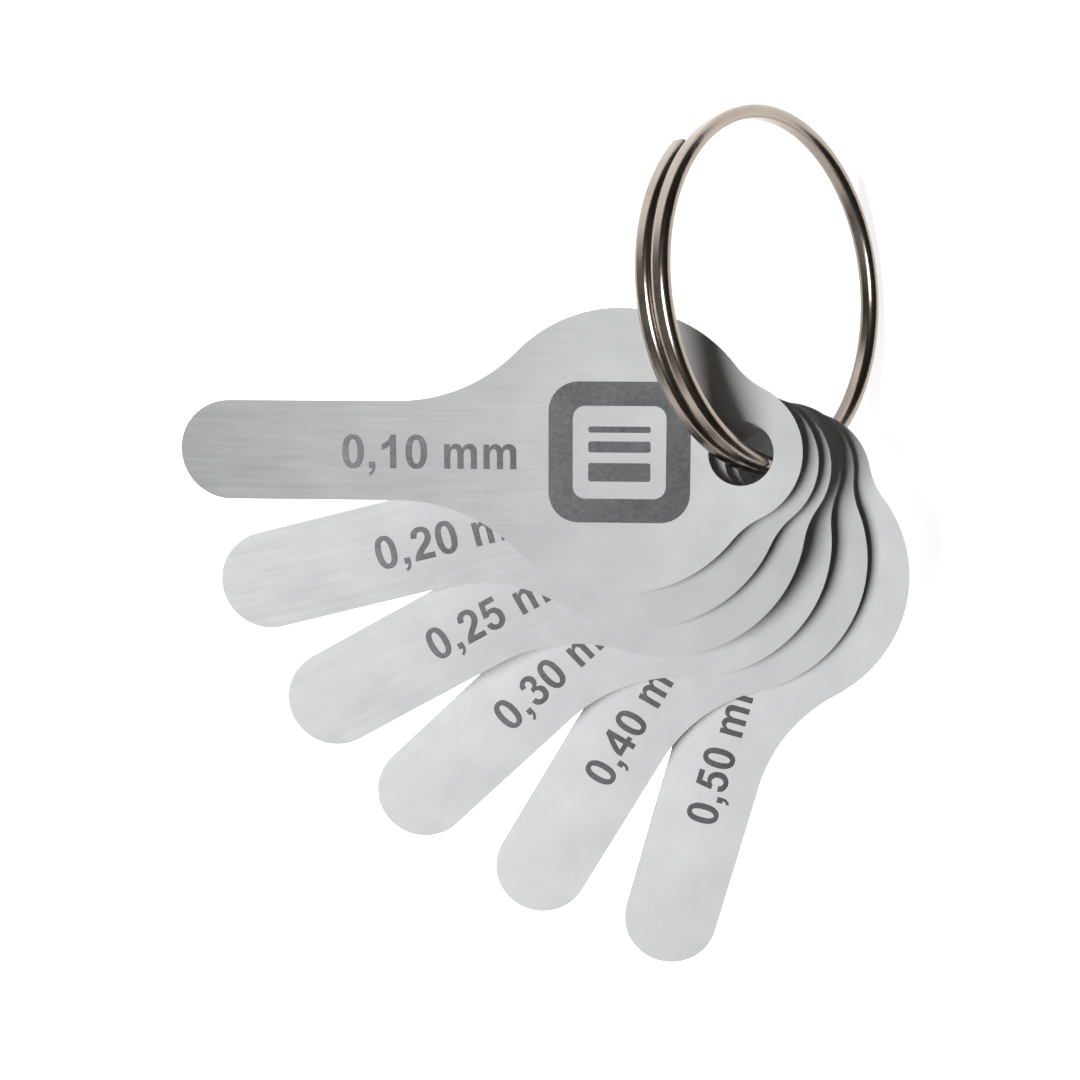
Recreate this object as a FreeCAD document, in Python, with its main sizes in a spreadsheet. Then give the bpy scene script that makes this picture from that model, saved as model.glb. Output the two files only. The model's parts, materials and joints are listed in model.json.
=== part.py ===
import FreeCAD, Part

import math
import os

import Sketcher
from FreeCAD import Placement, Rotation, Vector

# Feeler gauge: six stamped thickness leaves threaded on one split ring of wire.
# +Z is the leaves' normal: every leaf lies level in a plane of its own, and the ring leans
# over about the Y axis where it passes through their eyes. The origin is under the middle
# of the whole gauge, at the height of its lowest point.

# Driving dimensions, in millimetres and degrees.
DIMENSIONS = [
    # The leaf blank, measured from the centre of its eye towards its tip.
    ("blade_width", 8.1),
    ("tip_reach", 45.5),
    ("disc_diameter", 23.1),
    ("disc_reach", 9.7),
    ("ear_radius", 5.8),
    ("ear_reach", 0.9),
    ("blade_blend", 13.5),
    ("ear_blend", 6.5),
    ("eye_diameter", 5.2),
    # The wire of the split ring, whose two coils lie side by side along the ring's axis.
    ("ring_diameter", 30.0),
    ("wire_radial", 1.15),
    ("wire_axial", 1.6),
    ("wire_corner", 0.5),
    ("coil_pitch", 1.65),
    ("end_round", 0.15),
    # Turns of the wire, as angles round the ring from its low side.
    ("coil_start", 118.0),
    ("shift_start", 258.0),
    ("shift_end", 478.0),
    ("coil_end", 618.0),
    # The ring's lean, and its centre from the origin.
    ("ring_lean", 50.0),
    ("ring_x", 19.77),
    ("ring_y", 20.69),
    ("ring_height", 11.866),
]

# Each leaf: its thickness, its station round the ring from the ring's low side, the way its
# blade points from +X, and its eye's centre along X and Y from the ring's middle line.
LEAVES = {
    "leaf_0_10": (0.10, -122.0, 168.5, 0.05, 0.25),
    "leaf_0_20": (0.20, -114.0, 183.0, 0.1, 0.25),
    "leaf_0_25": (0.25, -107.0, 198.0, 0.0, 0.35),
    "leaf_0_30": (0.30, -94.5, 212.5, -1.2, 0.4),
    "leaf_0_40": (0.40, -86.5, 228.5, -1.5, 0.1),
    "leaf_0_50": (0.50, -80.5, 243.5, -1.3, -1.05),
}
LEAF_COLUMNS = ("thickness", "station", "direction", "slack_x", "slack_y")

START, END, CENTRE = 1, 2, 3
ORIGIN = (-1, START)
X_AXIS = -1
# Spacing in degrees of the points that set the wire's crossing between the coils.
SHIFT_STEP = 12.0


def make_sheet(doc):
    """Write every driving dimension to a cell with an alias."""
    sheet = doc.addObject("Spreadsheet::Sheet", "Dims")
    cells = list(DIMENSIONS)
    for leaf, values in LEAVES.items():
        cells += [(f"{leaf}_{column}", value) for column, value in zip(LEAF_COLUMNS, values)]
    for row, (alias, value) in enumerate(cells, start=1):
        sheet.set(f"A{row}", alias)
        sheet.set(f"B{row}", str(value))
        sheet.setAlias(f"B{row}", alias)
    doc.recompute()
    return sheet


def base_plane(body, role):
    """The body's own origin plane of this role."""
    return next(item for item in body.Origin.OriginFeatures if item.Role == role)


def arc(sketch, centre, radius, start, end, mirror=False):
    """Add an arc given by its end angles, or its mirror image across the X axis."""
    if mirror:
        centre = Vector(centre.x, -centre.y, 0)
        start, end = -end, -start
    circle = Part.Circle(centre, Vector(0, 0, 1), radius)
    return sketch.addGeometry(Part.ArcOfCircle(circle, start, end), False)


def blank_centres(sheet):
    """Centres of the leaf's tip, disc and ear, and of the two hollow blends above the axis."""
    half = sheet.blade_width / 2
    tip = Vector(sheet.tip_reach - half, 0, 0)
    disc = Vector(sheet.disc_reach, 0, 0)
    ear = Vector(sheet.ear_reach, 0, 0)
    disc_radius = sheet.disc_diameter / 2
    lift = half + sheet.blade_blend
    blade_blend = Vector(disc.x + math.sqrt((disc_radius + sheet.blade_blend) ** 2 - lift ** 2), lift, 0)
    to_disc = disc_radius + sheet.ear_blend
    to_ear = sheet.ear_radius + sheet.ear_blend
    span = disc.x - ear.x
    back = (to_disc ** 2 - to_ear ** 2 + span ** 2) / (2 * span)
    ear_blend = Vector(disc.x - back, math.sqrt(to_disc ** 2 - back ** 2), 0)
    return tip, disc, ear, blade_blend, ear_blend


def heading(origin, target):
    """Angle of the direction from one point to another."""
    return math.atan2(target.y - origin.y, target.x - origin.x)


def sketch_blank(body, sheet):
    """Outline of the stamped leaf, fully constrained, with its eye at the sketch's origin."""
    sketch = body.newObject("Sketcher::SketchObject", "Blank")
    sketch.AttachmentSupport = [(base_plane(body, "XY_Plane"), "")]
    sketch.MapMode = "FlatFace"
    half = sheet.blade_width / 2
    tip_at, disc_at, ear_at, blade_blend_at, ear_blend_at = blank_centres(sheet)

    tip = arc(sketch, tip_at, half, -math.pi / 2, math.pi / 2)
    ear_edge = heading(ear_at, ear_blend_at)
    ear = arc(sketch, ear_at, sheet.ear_radius, ear_edge, 2 * math.pi - ear_edge)
    sides = {}
    for side in (1, -1):
        lower = side < 0
        edge = Part.LineSegment(Vector(tip_at.x, side * half, 0), Vector(blade_blend_at.x, side * half, 0))
        sides[side] = (
            sketch.addGeometry(edge, False),
            arc(sketch, blade_blend_at, sheet.blade_blend,
                heading(blade_blend_at, disc_at), -math.pi / 2, lower),
            arc(sketch, disc_at, sheet.disc_diameter / 2,
                heading(disc_at, blade_blend_at), heading(disc_at, ear_blend_at), lower),
            arc(sketch, ear_blend_at, sheet.ear_blend,
                heading(ear_blend_at, ear_at), heading(ear_blend_at, disc_at), lower),
        )
    eye = sketch.addGeometry(Part.Circle(Vector(0, 0, 0), Vector(0, 0, 1), sheet.eye_diameter / 2), False)

    def rule(*terms):
        return sketch.addConstraint(Sketcher.Constraint(*terms))

    def sized(expression, *terms):
        sketch.setExpression(f"Constraints[{rule(*terms)}]", expression)

    for side, (edge, blade_blend, disc, ear_blend) in sides.items():
        first, last = (START, END) if side > 0 else (END, START)
        rule("Tangent", tip, last, edge, START)
        rule("Tangent", edge, END, blade_blend, last)
        rule("Tangent", blade_blend, first, disc, first)
        rule("Tangent", disc, last, ear_blend, last)
        rule("Tangent", ear_blend, first, ear, first)
        rule("Horizontal", edge)
    _, upper_blade_blend, upper_disc, upper_ear_blend = sides[1]
    _, lower_blade_blend, lower_disc, lower_ear_blend = sides[-1]
    rule("Equal", upper_blade_blend, lower_blade_blend)
    rule("Equal", upper_disc, lower_disc)
    rule("Equal", upper_ear_blend, lower_ear_blend)
    rule("Coincident", upper_disc, CENTRE, lower_disc, CENTRE)
    rule("Coincident", eye, CENTRE, *ORIGIN)
    for curve in (tip, upper_disc, ear):
        rule("PointOnObject", curve, CENTRE, X_AXIS)
    sized("Dims.tip_reach - Dims.blade_width / 2", "DistanceX", *ORIGIN, tip, CENTRE, tip_at.x)
    sized("Dims.disc_reach", "DistanceX", *ORIGIN, upper_disc, CENTRE, disc_at.x)
    sized("Dims.ear_reach", "DistanceX", *ORIGIN, ear, CENTRE, ear_at.x)
    sized("Dims.blade_width / 2", "Radius", tip, half)
    sized("Dims.disc_diameter / 2", "Radius", upper_disc, sheet.disc_diameter / 2)
    sized("Dims.ear_radius", "Radius", ear, sheet.ear_radius)
    sized("Dims.blade_blend", "Radius", upper_blade_blend, sheet.blade_blend)
    sized("Dims.ear_blend", "Radius", upper_ear_blend, sheet.ear_blend)
    sized("Dims.eye_diameter / 2", "Radius", eye, sheet.eye_diameter / 2)
    return sketch


def middle_line(sheet, angle):
    """Place of the wire's middle line in the row frame, midway between the two coils."""
    radius = (sheet.ring_diameter - sheet.wire_radial) / 2
    lean, turn = math.radians(sheet.ring_lean), math.radians(angle)
    reach = radius * math.cos(turn)
    return Vector(sheet.ring_x + reach * math.cos(lean),
                  sheet.ring_y + radius * math.sin(turn),
                  sheet.ring_height - reach * math.sin(lean))


def make_leaf(doc, sheet, label):
    """One stamped leaf, its mid-plane at the height where the wire passes through its eye."""
    body = doc.addObject("PartDesign::Body", label)
    pad = body.newObject("PartDesign::Pad", "Thickness")
    pad.Profile = sketch_blank(body, sheet)
    pad.SideType = "Symmetric"
    pad.setExpression("Length", f"Dims.{label}_thickness")
    station, direction, *slack = (sheet.get(f"{label}_{column}") for column in LEAF_COLUMNS[1:])
    eye = middle_line(sheet, station) + Vector(*slack, 0)
    body.Placement = Placement(eye, Rotation(Vector(0, 0, 1), direction))
    return body


def coil_arc(radius, height, start, end):
    """Edge of one coil about the ring's own axis, between two angles in degrees."""
    circle = Part.Circle(Vector(0, 0, height), Vector(0, 0, 1), radius)
    return Part.Arc(circle, math.radians(start), math.radians(end)).toShape()


def shift_curve(sheet, radius):
    """Edge on which the wire crosses smoothly from the back coil to the front coil."""
    start, end = sheet.shift_start, sheet.shift_end
    steps = round((end - start) / SHIFT_STEP)
    points = []
    for step in range(steps + 1):
        part = step / steps
        turn = math.radians(start + (end - start) * part)
        height = sheet.coil_pitch * (part * part * (3 - 2 * part) - 0.5)
        points.append(Vector(radius * math.cos(turn), radius * math.sin(turn), height))
    tangents = [Vector(-math.sin(math.radians(a)), math.cos(math.radians(a)), 0) for a in (start, end)]
    curve = Part.BSplineCurve()
    curve.interpolate(Points=points, InitialTangent=tangents[0], FinalTangent=tangents[1], Scale=False)
    return curve.toShape()


def wire_section(sheet):
    """Rounded-rectangle section of the wire, in the XZ plane about the origin."""
    half_x, half_z = sheet.wire_radial / 2, sheet.wire_axial / 2
    box = Part.makePolygon([Vector(x, 0, z) for x, z in (
        (-half_x, -half_z), (half_x, -half_z), (half_x, half_z), (-half_x, half_z), (-half_x, -half_z))])
    face = Part.Face(box)
    rod = face.extrude(Vector(0, 1, 0))
    lengthwise = [e for e in rod.Edges if abs(e.tangentAt(e.FirstParameter).y) > 0.5]
    rounded = rod.makeFillet(sheet.wire_corner, lengthwise)
    end = min(rounded.Faces, key=lambda f: f.CenterOfMass.y)
    return end.OuterWire


def is_cut_end(face, sheet):
    """Whether a face is one of the wire's two cut ends, about as large as its section."""
    return face.Area < 1.01 * sheet.wire_radial * sheet.wire_axial and isinstance(face.Surface, Part.Plane)


def make_ring(doc, sheet):
    """The split ring: one wire swept through almost one and a half turns."""
    radius = (sheet.ring_diameter - sheet.wire_radial) / 2
    half_pitch = sheet.coil_pitch / 2
    path = Part.Wire([
        coil_arc(radius, -half_pitch, sheet.coil_start, sheet.shift_start),
        shift_curve(sheet, radius),
        coil_arc(radius, half_pitch, sheet.shift_end, sheet.coil_end),
    ])
    section = wire_section(sheet)
    section.Placement = Placement(Vector(radius, 0, -half_pitch), Rotation())
    section.rotate(Vector(0, 0, 0), Vector(0, 0, 1), sheet.coil_start)
    sweep = Part.BRepOffsetAPI.MakePipeShell(path)
    sweep.setBiNormalMode(Vector(0, 0, 1))
    sweep.add(section, False, False)
    sweep.build()
    sweep.makeSolid()
    wire = sweep.shape()
    end_edges = [edge for face in wire.Faces if is_cut_end(face, sheet) for edge in face.Edges]
    ring = doc.addObject("Part::Feature", "split_ring")
    ring.Shape = wire.makeFillet(sheet.end_round, end_edges)
    ring.Placement = Placement(
        Vector(sheet.ring_x, sheet.ring_y, sheet.ring_height),
        Rotation(Vector(0, 1, 0), sheet.ring_lean))
    return ring


def check(doc, parts):
    """Stop unless every object recomputed and every part is one valid solid."""
    failed = [item.Name for item in doc.Objects if {"Invalid", "Error"} & set(item.State)]
    if failed:
        raise RuntimeError(f"not recomputed: {failed}")
    for part in parts:
        shape = part.Shape
        if shape.isNull() or not shape.isValid() or len(shape.Solids) != 1:
            raise RuntimeError(f"{part.Label} is not one valid solid")


def main():
    doc = FreeCAD.newDocument("feeler_gauge")
    sheet = make_sheet(doc)
    parts = [make_ring(doc, sheet)] + [make_leaf(doc, sheet, label) for label in LEAVES]
    doc.recompute()
    check(doc, parts)
    os.makedirs("parts", exist_ok=True)
    for part in parts:
        part.Shape.exportStep(f"parts/{part.Label}.step")
        box = part.Shape.BoundBox
        print(part.Label, round(part.Shape.Volume, 3), [round(value, 3) for value in (
            box.XMin, box.XMax, box.YMin, box.YMax, box.ZMin, box.ZMax)])


main()
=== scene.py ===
import json
import math

import bpy
from mathutils import Matrix, Vector


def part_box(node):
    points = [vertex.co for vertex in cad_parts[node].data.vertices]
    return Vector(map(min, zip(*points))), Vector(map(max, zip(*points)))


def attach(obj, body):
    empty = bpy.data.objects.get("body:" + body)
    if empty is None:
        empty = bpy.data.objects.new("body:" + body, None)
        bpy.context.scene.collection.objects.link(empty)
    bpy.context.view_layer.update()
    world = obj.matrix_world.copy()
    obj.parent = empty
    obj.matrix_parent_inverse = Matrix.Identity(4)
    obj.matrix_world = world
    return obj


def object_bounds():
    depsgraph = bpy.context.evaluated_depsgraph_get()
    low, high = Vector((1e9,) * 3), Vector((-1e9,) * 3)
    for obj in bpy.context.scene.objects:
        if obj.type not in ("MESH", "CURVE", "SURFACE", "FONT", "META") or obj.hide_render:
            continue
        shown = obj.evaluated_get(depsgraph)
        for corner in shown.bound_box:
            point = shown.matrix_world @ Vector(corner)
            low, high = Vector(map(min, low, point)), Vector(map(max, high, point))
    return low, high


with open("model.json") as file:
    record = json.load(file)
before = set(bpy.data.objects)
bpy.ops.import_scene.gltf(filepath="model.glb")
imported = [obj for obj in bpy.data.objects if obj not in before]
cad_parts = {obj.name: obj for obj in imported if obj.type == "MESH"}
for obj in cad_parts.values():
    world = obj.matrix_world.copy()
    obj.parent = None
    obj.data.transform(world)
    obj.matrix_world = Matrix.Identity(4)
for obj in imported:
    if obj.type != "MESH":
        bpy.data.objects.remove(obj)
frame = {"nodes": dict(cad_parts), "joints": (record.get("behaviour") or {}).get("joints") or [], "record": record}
CAD_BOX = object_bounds()

MM = 0.001
RING = "split_ring"
LEAVES = ["leaf_0_10", "leaf_0_20", "leaf_0_25", "leaf_0_30", "leaf_0_40", "leaf_0_50"]
HINGES = {joint["child"]: Vector(joint["pos_m"]) for joint in frame["joints"]}
BLADE_POINTS = {mount["name"].replace("gauge_face", "leaf"): Vector(mount["pos_m"])
                for mount in frame["record"]["mounts"] if mount["name"].startswith("gauge_face")}

RING_AXIS = next(Vector(mount["axis"]) for mount in frame["record"]["mounts"]
                 if mount["name"] == "ring_hang_point")
RING_LEAN = math.atan2(RING_AXIS.x, RING_AXIS.z)

# The etched marks, in millimetres along the leaf from its eye and across it. ETCH_STANDS is how much
# of an etching's height its middle stands above the steel.
DISC_REACH = 9.7
TEXT_FROM_EYE = 32.35
TEXT_BASELINE = -1.42
DIGIT_HEIGHT = 2.75
TEXT_WIDTH_SCALE = 0.97
ETCH_HEIGHT = 0.008
ETCH_STANDS = 0.4
SMOOTH_STEPS = 5
CORNER_TURN = math.radians(38)

# Outlines of the bold figures, in units of the digit height: (advance, outline, hole, ...).
GLYPHS = {
    "1": (0.777, [(0.357, 0), (0.549, 0), (0.549, 1), (0.393, 1), (0.33, 0.87), (0.22, 0.77), (0.105, 0.71),
                  (0.105, 0.535), (0.24, 0.59), (0.357, 0.675)]),
    "2": (0.777, [(0.05, 0), (0.71, 0), (0.71, 0.178), (0.335, 0.178), (0.41, 0.26), (0.52, 0.36),
                  (0.63, 0.47), (0.69, 0.58), (0.71, 0.71), (0.685, 0.84), (0.61, 0.94), (0.5, 0.99),
                  (0.39, 1.005), (0.27, 0.99), (0.17, 0.93), (0.105, 0.84), (0.075, 0.7), (0.265, 0.68),
                  (0.285, 0.77), (0.33, 0.83), (0.4, 0.85), (0.47, 0.83), (0.51, 0.78), (0.518, 0.7),
                  (0.49, 0.61), (0.42, 0.52), (0.3, 0.41), (0.19, 0.3), (0.11, 0.19), (0.065, 0.09)]),
    "3": (0.777, [(0.08, 0.735), (0.12, 0.86), (0.22, 0.96), (0.37, 1.005), (0.52, 0.975), (0.63, 0.885),
                  (0.668, 0.75), (0.635, 0.625), (0.525, 0.53), (0.64, 0.47), (0.705, 0.38), (0.715, 0.27),
                  (0.68, 0.14), (0.59, 0.04), (0.47, -0.005), (0.36, -0.015), (0.23, 0.015), (0.12, 0.1),
                  (0.055, 0.26), (0.245, 0.285), (0.27, 0.21), (0.32, 0.16), (0.385, 0.142), (0.46, 0.165),
                  (0.508, 0.22), (0.518, 0.3), (0.498, 0.38), (0.45, 0.43), (0.385, 0.447), (0.3, 0.43),
                  (0.325, 0.59), (0.41, 0.605), (0.46, 0.65), (0.475, 0.72), (0.455, 0.8), (0.415, 0.84),
                  (0.365, 0.852), (0.31, 0.835), (0.275, 0.785), (0.258, 0.71)]),
    "4": (0.777, [(0.43, 0), (0.615, 0), (0.615, 0.2), (0.735, 0.2), (0.735, 0.36), (0.615, 0.36), (0.615, 1),
                  (0.45, 1), (0.03, 0.37), (0.03, 0.2), (0.43, 0.2)],
          [(0.43, 0.36), (0.43, 0.71), (0.2, 0.36)]),
    "5": (0.777, [(0.055, 0.255), (0.09, 0.13), (0.17, 0.045), (0.28, 0), (0.38, -0.015), (0.52, 0.015),
                  (0.64, 0.105), (0.705, 0.22), (0.718, 0.34), (0.69, 0.48), (0.62, 0.59), (0.52, 0.65),
                  (0.42, 0.665), (0.34, 0.655), (0.285, 0.632), (0.315, 0.81), (0.66, 0.81), (0.66, 0.985),
                  (0.17, 0.985), (0.08, 0.47), (0.235, 0.45), (0.295, 0.5), (0.37, 0.52), (0.45, 0.495),
                  (0.505, 0.43), (0.522, 0.335), (0.505, 0.235), (0.45, 0.165), (0.38, 0.143), (0.31, 0.165),
                  (0.265, 0.21), (0.245, 0.28)]),
    ",": (0.388, [(0.095, 0), (0.095, 0.19), (0.29, 0.19), (0.29, 0.03), (0.265, -0.09), (0.2, -0.175),
                  (0.12, -0.225), (0.08, -0.145), (0.145, -0.105), (0.18, -0.055), (0.19, 0)]),
    "m": (1.2, [(0.09, 0), (0.09, 0.725), (0.262, 0.725), (0.262, 0.63), (0.34, 0.705), (0.44, 0.742),
                (0.54, 0.722), (0.61, 0.67), (0.64, 0.61), (0.72, 0.7), (0.83, 0.742), (0.95, 0.73),
                (1.04, 0.67), (1.085, 0.57), (1.09, 0.45), (1.09, 0), (0.9, 0), (0.9, 0.42), (0.888, 0.53),
                (0.85, 0.58), (0.79, 0.585), (0.72, 0.545), (0.69, 0.47), (0.685, 0.36), (0.685, 0),
                (0.495, 0), (0.495, 0.42), (0.485, 0.53), (0.45, 0.58), (0.39, 0.585), (0.32, 0.545),
                (0.287, 0.47), (0.28, 0.36), (0.28, 0)]),
    " ": (0.37,),
}

# Length of a leaf from its eye to its tip, and painted shading: how bright its steel is painted at its tip and its
# ear, to even out the lamp's light across the fan.
LEAF_REACH = 45.5
LEAF_PAINTED_SHADING = {
    "leaf_0_10": (0.55, 1.05), "leaf_0_20": (0.87, 0.95), "leaf_0_25": (0.92, 0.97),
    "leaf_0_30": (0.98, 1.04), "leaf_0_40": (1.06, 1.04), "leaf_0_50": (1.08, 1.18),
}

# The mark on the grip disc: three bars of rising thickness inside a rounded frame. The frame and its
# window are a half side and a corner radius, and each bar is its height on the disc and half its thickness.
MARK_FRAME = (5.7, 2.4)
MARK_WINDOW = (3.75, 1.0)
MARK_BARS = ((1.85, 0.25), (0.45, 0.45), (-1.6, 0.75))
MARK_BAR_HALF = 2.5
MARK_BAR_CORNER = 0.2

# The lamp: its place and width in metres from the middle of the gauge, and its power.
KEY_PLACE = (-0.70, 0.04, 1.01)
KEY_SIZE = 0.58
KEY_POWER = 24.0

# The floor: half its width and its drop below the gauge in metres, and its own glow.
FLOOR_HALF = 1.0
FLOOR_DROP = 0.0002
FLOOR_GLOW = 0.8

# The camera: what it looks at, its distance and its lens, in millimetres.
AIM = Vector((-2.926, 3.989, 11.856)) * MM
CAMERA_DISTANCE = 145.77 * MM
CAMERA_AZIMUTH = math.radians(54.41)
CAMERA_ELEVATION = math.radians(79.58)
CAMERA_ROLL = math.radians(11.62)
CAMERA_LENS = 57.34
SENSOR = 36.0


def oval(centre, half_width, half_height, squareness, count=40):
    """Closed outline of a superellipse."""
    points = []
    for step in range(count):
        turn = 2 * math.pi * step / count
        cos, sin = math.cos(turn), math.sin(turn)
        points.append((centre[0] + half_width * math.copysign(abs(cos) ** (2 / squareness), cos),
                       centre[1] + half_height * math.copysign(abs(sin) ** (2 / squareness), sin)))
    return points


GLYPHS["0"] = (0.777, oval((0.388, 0.495), 0.332, 0.51, 2.3), oval((0.388, 0.495), 0.133, 0.355, 2.3))


def smoothed(points):
    """The outline with its gentle turns rounded by a spline and its sharp corners kept."""
    points = [Vector(point) for point in points]
    count = len(points)
    tangents = []
    for i, here in enumerate(points):
        before, after = here - points[i - 1], points[(i + 1) % count] - here
        if abs(before.angle_signed(after)) > CORNER_TURN:
            tangents.append(None)
        else:
            tangents.append((before.normalized() + after.normalized()).normalized())
    line = []
    for i, start in enumerate(points):
        end = points[(i + 1) % count]
        chord = end - start
        leave = tangents[i] or chord.normalized()
        arrive = tangents[(i + 1) % count] or chord.normalized()
        steps = 1 if tangents[i] is None and tangents[(i + 1) % count] is None else SMOOTH_STEPS
        for step in range(steps):
            t = step / steps
            a, b = 2 * t ** 3 - 3 * t ** 2 + 1, t ** 3 - 2 * t ** 2 + t
            c, d = 1 - a, t ** 3 - t ** 2
            line.append(start * a + leave * chord.length * b + end * c + arrive * chord.length * d)
    return line


def leaf_frame(leaf):
    """Matrix from millimetres on the leaf's top face, with +X reading from the tip to the eye."""
    eye, blade = HINGES[leaf], BLADE_POINTS[leaf]
    along = Vector((eye.x - blade.x, eye.y - blade.y, 0)).normalized()
    turn = math.atan2(along.y, along.x)
    place = Matrix.Translation((eye.x, eye.y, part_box(leaf)[1].z))
    return place @ Matrix.Rotation(turn, 4, "Z") @ Matrix.Scale(MM, 4), turn


def plate(name, outlines, leaf, material):
    """A thin flat piece on the leaf's top face, filled between its outlines, in millimetres."""
    curve = bpy.data.curves.new(name, "CURVE")
    curve.dimensions = "2D"
    curve.fill_mode = "BOTH"
    curve.extrude = ETCH_HEIGHT / 2
    for outline in outlines:
        spline = curve.splines.new("POLY")
        spline.points.add(len(outline) - 1)
        for point, place in zip(spline.points, outline):
            point.co = (place[0], place[1], 0, 1)
        spline.use_cyclic_u = True
    shape = bpy.data.objects.new(name + "_curve", curve)
    bpy.context.scene.collection.objects.link(shape)
    bpy.context.view_layer.update()
    mesh = bpy.data.meshes.new_from_object(shape.evaluated_get(bpy.context.evaluated_depsgraph_get()))
    bpy.data.objects.remove(shape)
    mesh.name = name
    mesh.transform(leaf_frame(leaf)[0] @ Matrix.Translation((0, 0, ETCH_HEIGHT * ETCH_STANDS)))
    mesh.materials.clear()
    mesh.materials.append(material)
    piece = bpy.data.objects.new(name, mesh)
    bpy.context.scene.collection.objects.link(piece)
    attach(piece, leaf)


def size_text(text):
    """Outlines of the thickness mark, in millimetres on the leaf."""
    outlines = []
    pen = 0
    for letter in text:
        advance, *shapes = GLYPHS[letter]
        for shape in shapes:
            outlines.append([(-TEXT_FROM_EYE + (pen + point.x) * DIGIT_HEIGHT * TEXT_WIDTH_SCALE,
                              TEXT_BASELINE + point.y * DIGIT_HEIGHT) for point in smoothed(shape)])
        pen += advance
    return outlines


def rounded_box(x, y, half_width, half_height, radius, steps=8):
    """Outline of a rounded rectangle."""
    points = []
    for corner, (sx, sy) in enumerate(((1, 1), (-1, 1), (-1, -1), (1, -1))):
        for step in range(steps + 1):
            turn = math.pi / 2 * (corner + step / steps)
            points.append((x + sx * (half_width - radius) + radius * math.cos(turn),
                           y + sy * (half_height - radius) + radius * math.sin(turn)))
    return points


def grip_mark():
    """Outlines of the mark on the grip disc, in millimetres on the leaf."""
    outlines = [rounded_box(-DISC_REACH, 0, half, half, radius) for half, radius in (MARK_FRAME, MARK_WINDOW)]
    for height, half in MARK_BARS:
        outlines.append(rounded_box(-DISC_REACH, height, MARK_BAR_HALF, half, MARK_BAR_CORNER))
    return outlines


def new_material(name):
    """A material with only its Principled shader, and short helpers to build its nodes."""
    material = bpy.data.materials.new(name)
    material.use_nodes = True
    tree = material.node_tree
    return material, tree, tree.nodes["Principled BSDF"]


def add(tree, kind, **values):
    """Add a node, set its own properties by name and its inputs by 'in_' name."""
    node = tree.nodes.new(kind)
    for key, value in values.items():
        if key.startswith("in_"):
            node.inputs[key[3:].replace("_", " ")].default_value = value
        else:
            setattr(node, key, value)
    return node


def ramp(tree, factor, stops):
    """A colour ramp through (place, colour) stops, fed by a socket."""
    node = tree.nodes.new("ShaderNodeValToRGB")
    node.color_ramp.elements[0].position, node.color_ramp.elements[0].color = stops[0]
    node.color_ramp.elements[1].position, node.color_ramp.elements[1].color = stops[-1]
    for position, colour in stops[1:-1]:
        node.color_ramp.elements.new(position).color = colour
    tree.links.new(factor, node.inputs["Fac"])
    return node.outputs["Color"]


def grey(value, blue=0.0):
    """A neutral colour, a little towards blue if asked."""
    return (value * (1 - blue), value, value * (1 + blue), 1)


def leaf_coordinates(tree, leaf):
    """Coordinates in metres from the leaf's eye, with X along its blade."""
    place, turn = leaf_frame(leaf)
    spot = place.translation
    here = add(tree, "ShaderNodeTexCoord")
    moved = add(tree, "ShaderNodeVectorMath", operation="SUBTRACT")
    moved.inputs[1].default_value = spot
    tree.links.new(here.outputs["Object"], moved.inputs[0])
    turned = add(tree, "ShaderNodeVectorRotate", rotation_type="Z_AXIS", in_Angle=-turn)
    tree.links.new(moved.outputs[0], turned.inputs["Vector"])
    return turned.outputs[0], here.outputs["Normal"]


def stretched_noise(tree, coordinates, scale, stretch=(1.0, 1.0, 1.0), detail=3.0, roughness=0.55):
    """Noise of so many waves a metre on stretched coordinates."""
    scaled = add(tree, "ShaderNodeVectorMath", operation="MULTIPLY")
    scaled.inputs[1].default_value = stretch
    tree.links.new(coordinates, scaled.inputs[0])
    noise = add(tree, "ShaderNodeTexNoise", in_Scale=scale, in_Detail=detail, in_Roughness=roughness)
    tree.links.new(scaled.outputs[0], noise.inputs["Vector"])
    return noise.outputs["Fac"]


def mixed(tree, factor, first, second, blend="MIX"):
    """Mix two colours, each a socket or a value, by a factor that is a socket or a value."""
    node = add(tree, "ShaderNodeMix", data_type="RGBA", blend_type=blend)
    for socket, value in ((node.inputs[0], factor), (node.inputs[6], first), (node.inputs[7], second)):
        if isinstance(value, bpy.types.NodeSocket):
            tree.links.new(value, socket)
        else:
            socket.default_value = value
    return node.outputs[2]


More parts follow.
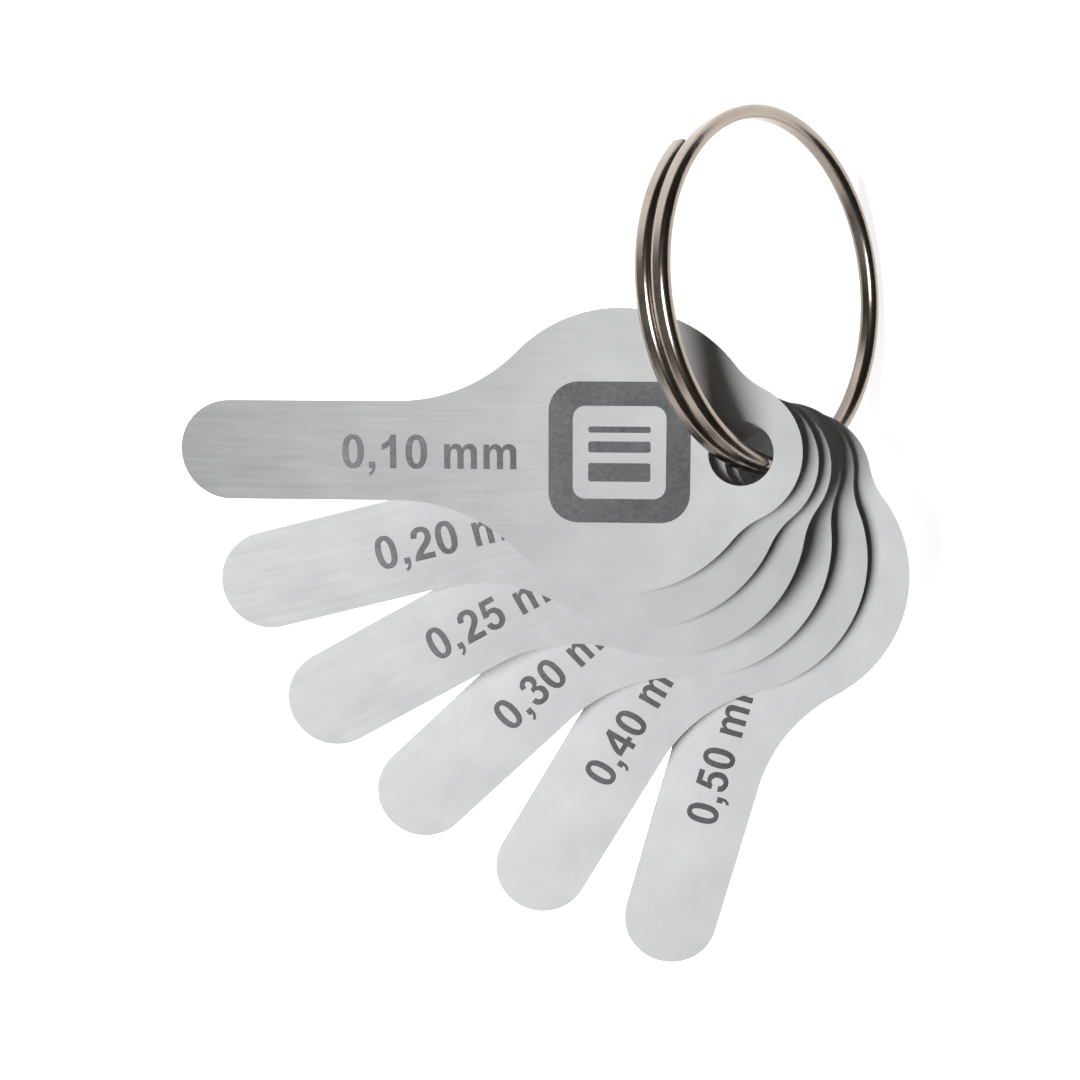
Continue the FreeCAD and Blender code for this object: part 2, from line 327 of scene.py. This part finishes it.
def leaf_steel(leaf):
    """Satin rolled strip: faint grain along the blade, soft mottling, painted shade on the cut edges, painted
    shading from tip to ear.
    """
    material, tree, shader = new_material("steel_" + leaf)
    coordinates, normal = leaf_coordinates(tree, leaf)
    mottle = stretched_noise(tree, coordinates, scale=260.0, stretch=(0.8, 1.0, 1.0), detail=4.0)
    cloud = stretched_noise(tree, coordinates, scale=70.0, detail=2.0)
    grain = stretched_noise(tree, coordinates, scale=2200.0, stretch=(0.06, 1.0, 1.0), roughness=0.6)
    tone = ramp(tree, mottle, [(0.3, grey(0.53, 0.01)), (0.72, grey(0.60, 0.006))])
    tone = mixed(tree, 0.22, tone, ramp(tree, cloud, [(0.3, grey(0.46, 0.02)), (0.7, grey(0.66))]))
    tone = mixed(tree, 0.12, tone, ramp(tree, grain, [(0.3, grey(0.42)), (0.7, grey(0.70))]))
    # Painted shading: the steel's colour is scaled from tip to ear by factors set leaf by leaf, evening out the
    # lamp's light across the fan.
    shade_at_tip, shade_at_ear = LEAF_PAINTED_SHADING[leaf]
    along = add(tree, "ShaderNodeSeparateXYZ")
    tree.links.new(coordinates, along.inputs[0])
    share = add(tree, "ShaderNodeMapRange", in_From_Min=-LEAF_REACH * MM, in_From_Max=0.0)
    tree.links.new(along.outputs["X"], share.inputs["Value"])
    painted_shading = ramp(tree, share.outputs[0], [(0.0, grey(shade_at_tip)), (1.0, grey(shade_at_ear))])
    tone = mixed(tree, 1.0, tone, painted_shading, "MULTIPLY")
    # Painted shade: faces that are not level, the cut edge walls, get a dark grey colour standing in for the shade
    # between the leaves.
    up = add(tree, "ShaderNodeSeparateXYZ")
    tree.links.new(normal, up.inputs[0])
    level = add(tree, "ShaderNodeMath", operation="ABSOLUTE")
    tree.links.new(up.outputs["Z"], level.inputs[0])
    flat = ramp(tree, level.outputs[0], [(0.4, grey(0.0)), (0.8, grey(1.0))])
    tree.links.new(mixed(tree, flat, grey(0.12), tone), shader.inputs["Base Color"])
    rough = add(tree, "ShaderNodeMapRange", in_From_Min=0.3, in_From_Max=0.7, in_To_Min=0.72, in_To_Max=0.78)
    tree.links.new(grain, rough.inputs["Value"])
    tree.links.new(rough.outputs[0], shader.inputs["Roughness"])
    bump = add(tree, "ShaderNodeBump", in_Strength=0.25, in_Distance=0.000004)
    tree.links.new(grain, bump.inputs["Height"])
    tree.links.new(bump.outputs[0], shader.inputs["Normal"])
    shader.inputs["Metallic"].default_value = 1.0
    return material


def etched(leaf):
    """Dark matt etching in the steel, with a fine mottle."""
    material, tree, shader = new_material("etching_" + leaf)
    coordinates, _ = leaf_coordinates(tree, leaf)
    speckle = stretched_noise(tree, coordinates, scale=2600.0, roughness=0.7)
    cloud = stretched_noise(tree, coordinates, scale=300.0, detail=2.0)
    tone = ramp(tree, speckle, [(0.3, grey(0.06, 0.03)), (0.7, grey(0.13, 0.03))])
    tone = mixed(tree, 0.35, tone, ramp(tree, cloud, [(0.3, grey(0.055, 0.03)), (0.7, grey(0.14, 0.03))]))
    tree.links.new(tone, shader.inputs["Base Color"])
    bump = add(tree, "ShaderNodeBump", in_Strength=0.4, in_Distance=0.00001)
    tree.links.new(speckle, bump.inputs["Height"])
    tree.links.new(bump.outputs[0], shader.inputs["Normal"])
    shader.inputs["Metallic"].default_value = 0.6
    shader.inputs["Roughness"].default_value = 0.5
    return material


def ring_steel():
    """Bright nickel-plated wire with faint drawn lines round the ring."""
    material, tree, shader = new_material("nickel_wire")
    low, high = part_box(RING)
    here = add(tree, "ShaderNodeTexCoord")
    hub = add(tree, "ShaderNodeVectorMath", operation="SUBTRACT")
    hub.inputs[1].default_value = (low + high) / 2
    tree.links.new(here.outputs["Object"], hub.inputs[0])
    level = add(tree, "ShaderNodeVectorRotate", rotation_type="Y_AXIS", in_Angle=-RING_LEAN)
    tree.links.new(hub.outputs[0], level.inputs["Vector"])
    parts = add(tree, "ShaderNodeSeparateXYZ")
    tree.links.new(level.outputs[0], parts.inputs[0])
    flat = add(tree, "ShaderNodeCombineXYZ")
    tree.links.new(parts.outputs["X"], flat.inputs["X"])
    tree.links.new(parts.outputs["Y"], flat.inputs["Y"])
    radius = add(tree, "ShaderNodeVectorMath", operation="LENGTH")
    tree.links.new(flat.outputs[0], radius.inputs[0])
    lines_at = add(tree, "ShaderNodeCombineXYZ")
    tree.links.new(radius.outputs["Value"], lines_at.inputs["X"])
    tree.links.new(parts.outputs["Z"], lines_at.inputs["Y"])
    lines = stretched_noise(tree, lines_at.outputs[0], scale=9000.0, detail=2.0)
    wear = stretched_noise(tree, here.outputs["Object"], scale=420.0, detail=4.0)
    dull, bright = (0.26, 0.222, 0.19, 1), (0.30, 0.26, 0.224, 1)
    tone = ramp(tree, wear, [(0.3, dull), (0.7, bright)])
    tree.links.new(tone, shader.inputs["Base Color"])
    rough = add(tree, "ShaderNodeMapRange", in_From_Min=0.3, in_From_Max=0.7, in_To_Min=0.22, in_To_Max=0.26)
    tree.links.new(wear, rough.inputs["Value"])
    tree.links.new(rough.outputs[0], shader.inputs["Roughness"])
    bump = add(tree, "ShaderNodeBump", in_Strength=0.2, in_Distance=0.000004)
    tree.links.new(lines, bump.inputs["Height"])
    tree.links.new(bump.outputs[0], shader.inputs["Normal"])
    shader.inputs["Metallic"].default_value = 1.0
    return material


def dress(node, material):
    """Give a CAD node its finished material."""
    mesh = frame["nodes"][node].data
    mesh.materials.clear()
    mesh.materials.append(material)


def make_floor():
    """A plain pale floor under the gauge."""
    mesh = bpy.data.meshes.new("floor")
    half = FLOOR_HALF
    corners = [(-half, -half, 0), (half, -half, 0), (half, half, 0), (-half, half, 0)]
    mesh.from_pydata(corners, [], [(0, 1, 2, 3)])
    floor = bpy.data.objects.new("floor", mesh)
    bpy.context.scene.collection.objects.link(floor)
    floor.location.z = -FLOOR_DROP
    material, _, shader = new_material("pale_floor")
    shader.inputs["Base Color"].default_value = grey(0.93)
    shader.inputs["Roughness"].default_value = 0.9
    shader.inputs["Specular IOR Level"].default_value = 0.0
    shader.inputs["Emission Color"].default_value = grey(1.0)
    shader.inputs["Emission Strength"].default_value = FLOOR_GLOW
    mesh.materials.append(material)


def make_light():
    """A square soft lamp, high on the side of the thinnest leaf's tip, aimed at the gauge's middle."""
    data = bpy.data.lights.new("key", "AREA")
    data.shape = "SQUARE"
    data.size = KEY_SIZE
    data.energy = KEY_POWER
    light = bpy.data.objects.new("key", data)
    middle = (CAD_BOX[0] + CAD_BOX[1]) / 2
    light.location = middle + Vector(KEY_PLACE)
    light.rotation_euler = (-Vector(KEY_PLACE)).to_track_quat("-Z", "Y").to_euler()
    bpy.context.scene.collection.objects.link(light)


def make_sky():
    """A soft dome for light and reflections, darker at the horizon, behind a plain pale backdrop."""
    world = bpy.data.worlds.new("studio")
    bpy.context.scene.world = world
    world.use_nodes = True
    tree = world.node_tree
    here = add(tree, "ShaderNodeTexCoord")
    parts = add(tree, "ShaderNodeSeparateXYZ")
    tree.links.new(here.outputs["Generated"], parts.inputs[0])
    dark = (0.030, 0.022, 0.017, 1)
    dome = ramp(tree, parts.outputs["Z"], [(0.0, dark), (0.5, dark), (0.8, grey(0.055)), (1.0, grey(0.075))])
    seen = add(tree, "ShaderNodeLightPath")
    backdrop = mixed(tree, seen.outputs["Is Camera Ray"], dome, grey(1.0))
    tree.links.new(backdrop, tree.nodes["Background"].inputs["Color"])
    tree.nodes["Background"].inputs["Strength"].default_value = 1.0


def make_camera():
    """The camera, looking down on the fan, rolled a little."""
    flat, rise = math.cos(CAMERA_ELEVATION), math.sin(CAMERA_ELEVATION)
    back = Vector((flat * math.cos(CAMERA_AZIMUTH), flat * math.sin(CAMERA_AZIMUTH), rise))
    right = Vector((0, 1, 0)).cross(back).normalized()
    up = back.cross(right)
    turn = Matrix((right, up, back)).transposed().to_4x4() @ Matrix.Rotation(-CAMERA_ROLL, 4, "Z")
    data = bpy.data.cameras.new("camera")
    data.lens = CAMERA_LENS
    data.sensor_width = SENSOR
    data.clip_start = 0.005
    camera = bpy.data.objects.new("camera", data)
    camera.matrix_world = Matrix.Translation(AIM + back * CAMERA_DISTANCE) @ turn
    bpy.context.scene.collection.objects.link(camera)
    bpy.context.scene.camera = camera


dress(RING, ring_steel())
for leaf in LEAVES:
    dress(leaf, leaf_steel(leaf))
    ink = etched(leaf)
    size = leaf.replace("leaf_", "")
    plate("size_mark_" + size, size_text(size.replace("_", ",") + " mm"), leaf, ink)
    plate("grip_mark_" + size, grip_mark(), leaf, ink)

bpy.context.scene.view_settings.view_transform = "Standard"
make_floor()
make_sky()
make_light()
make_camera()
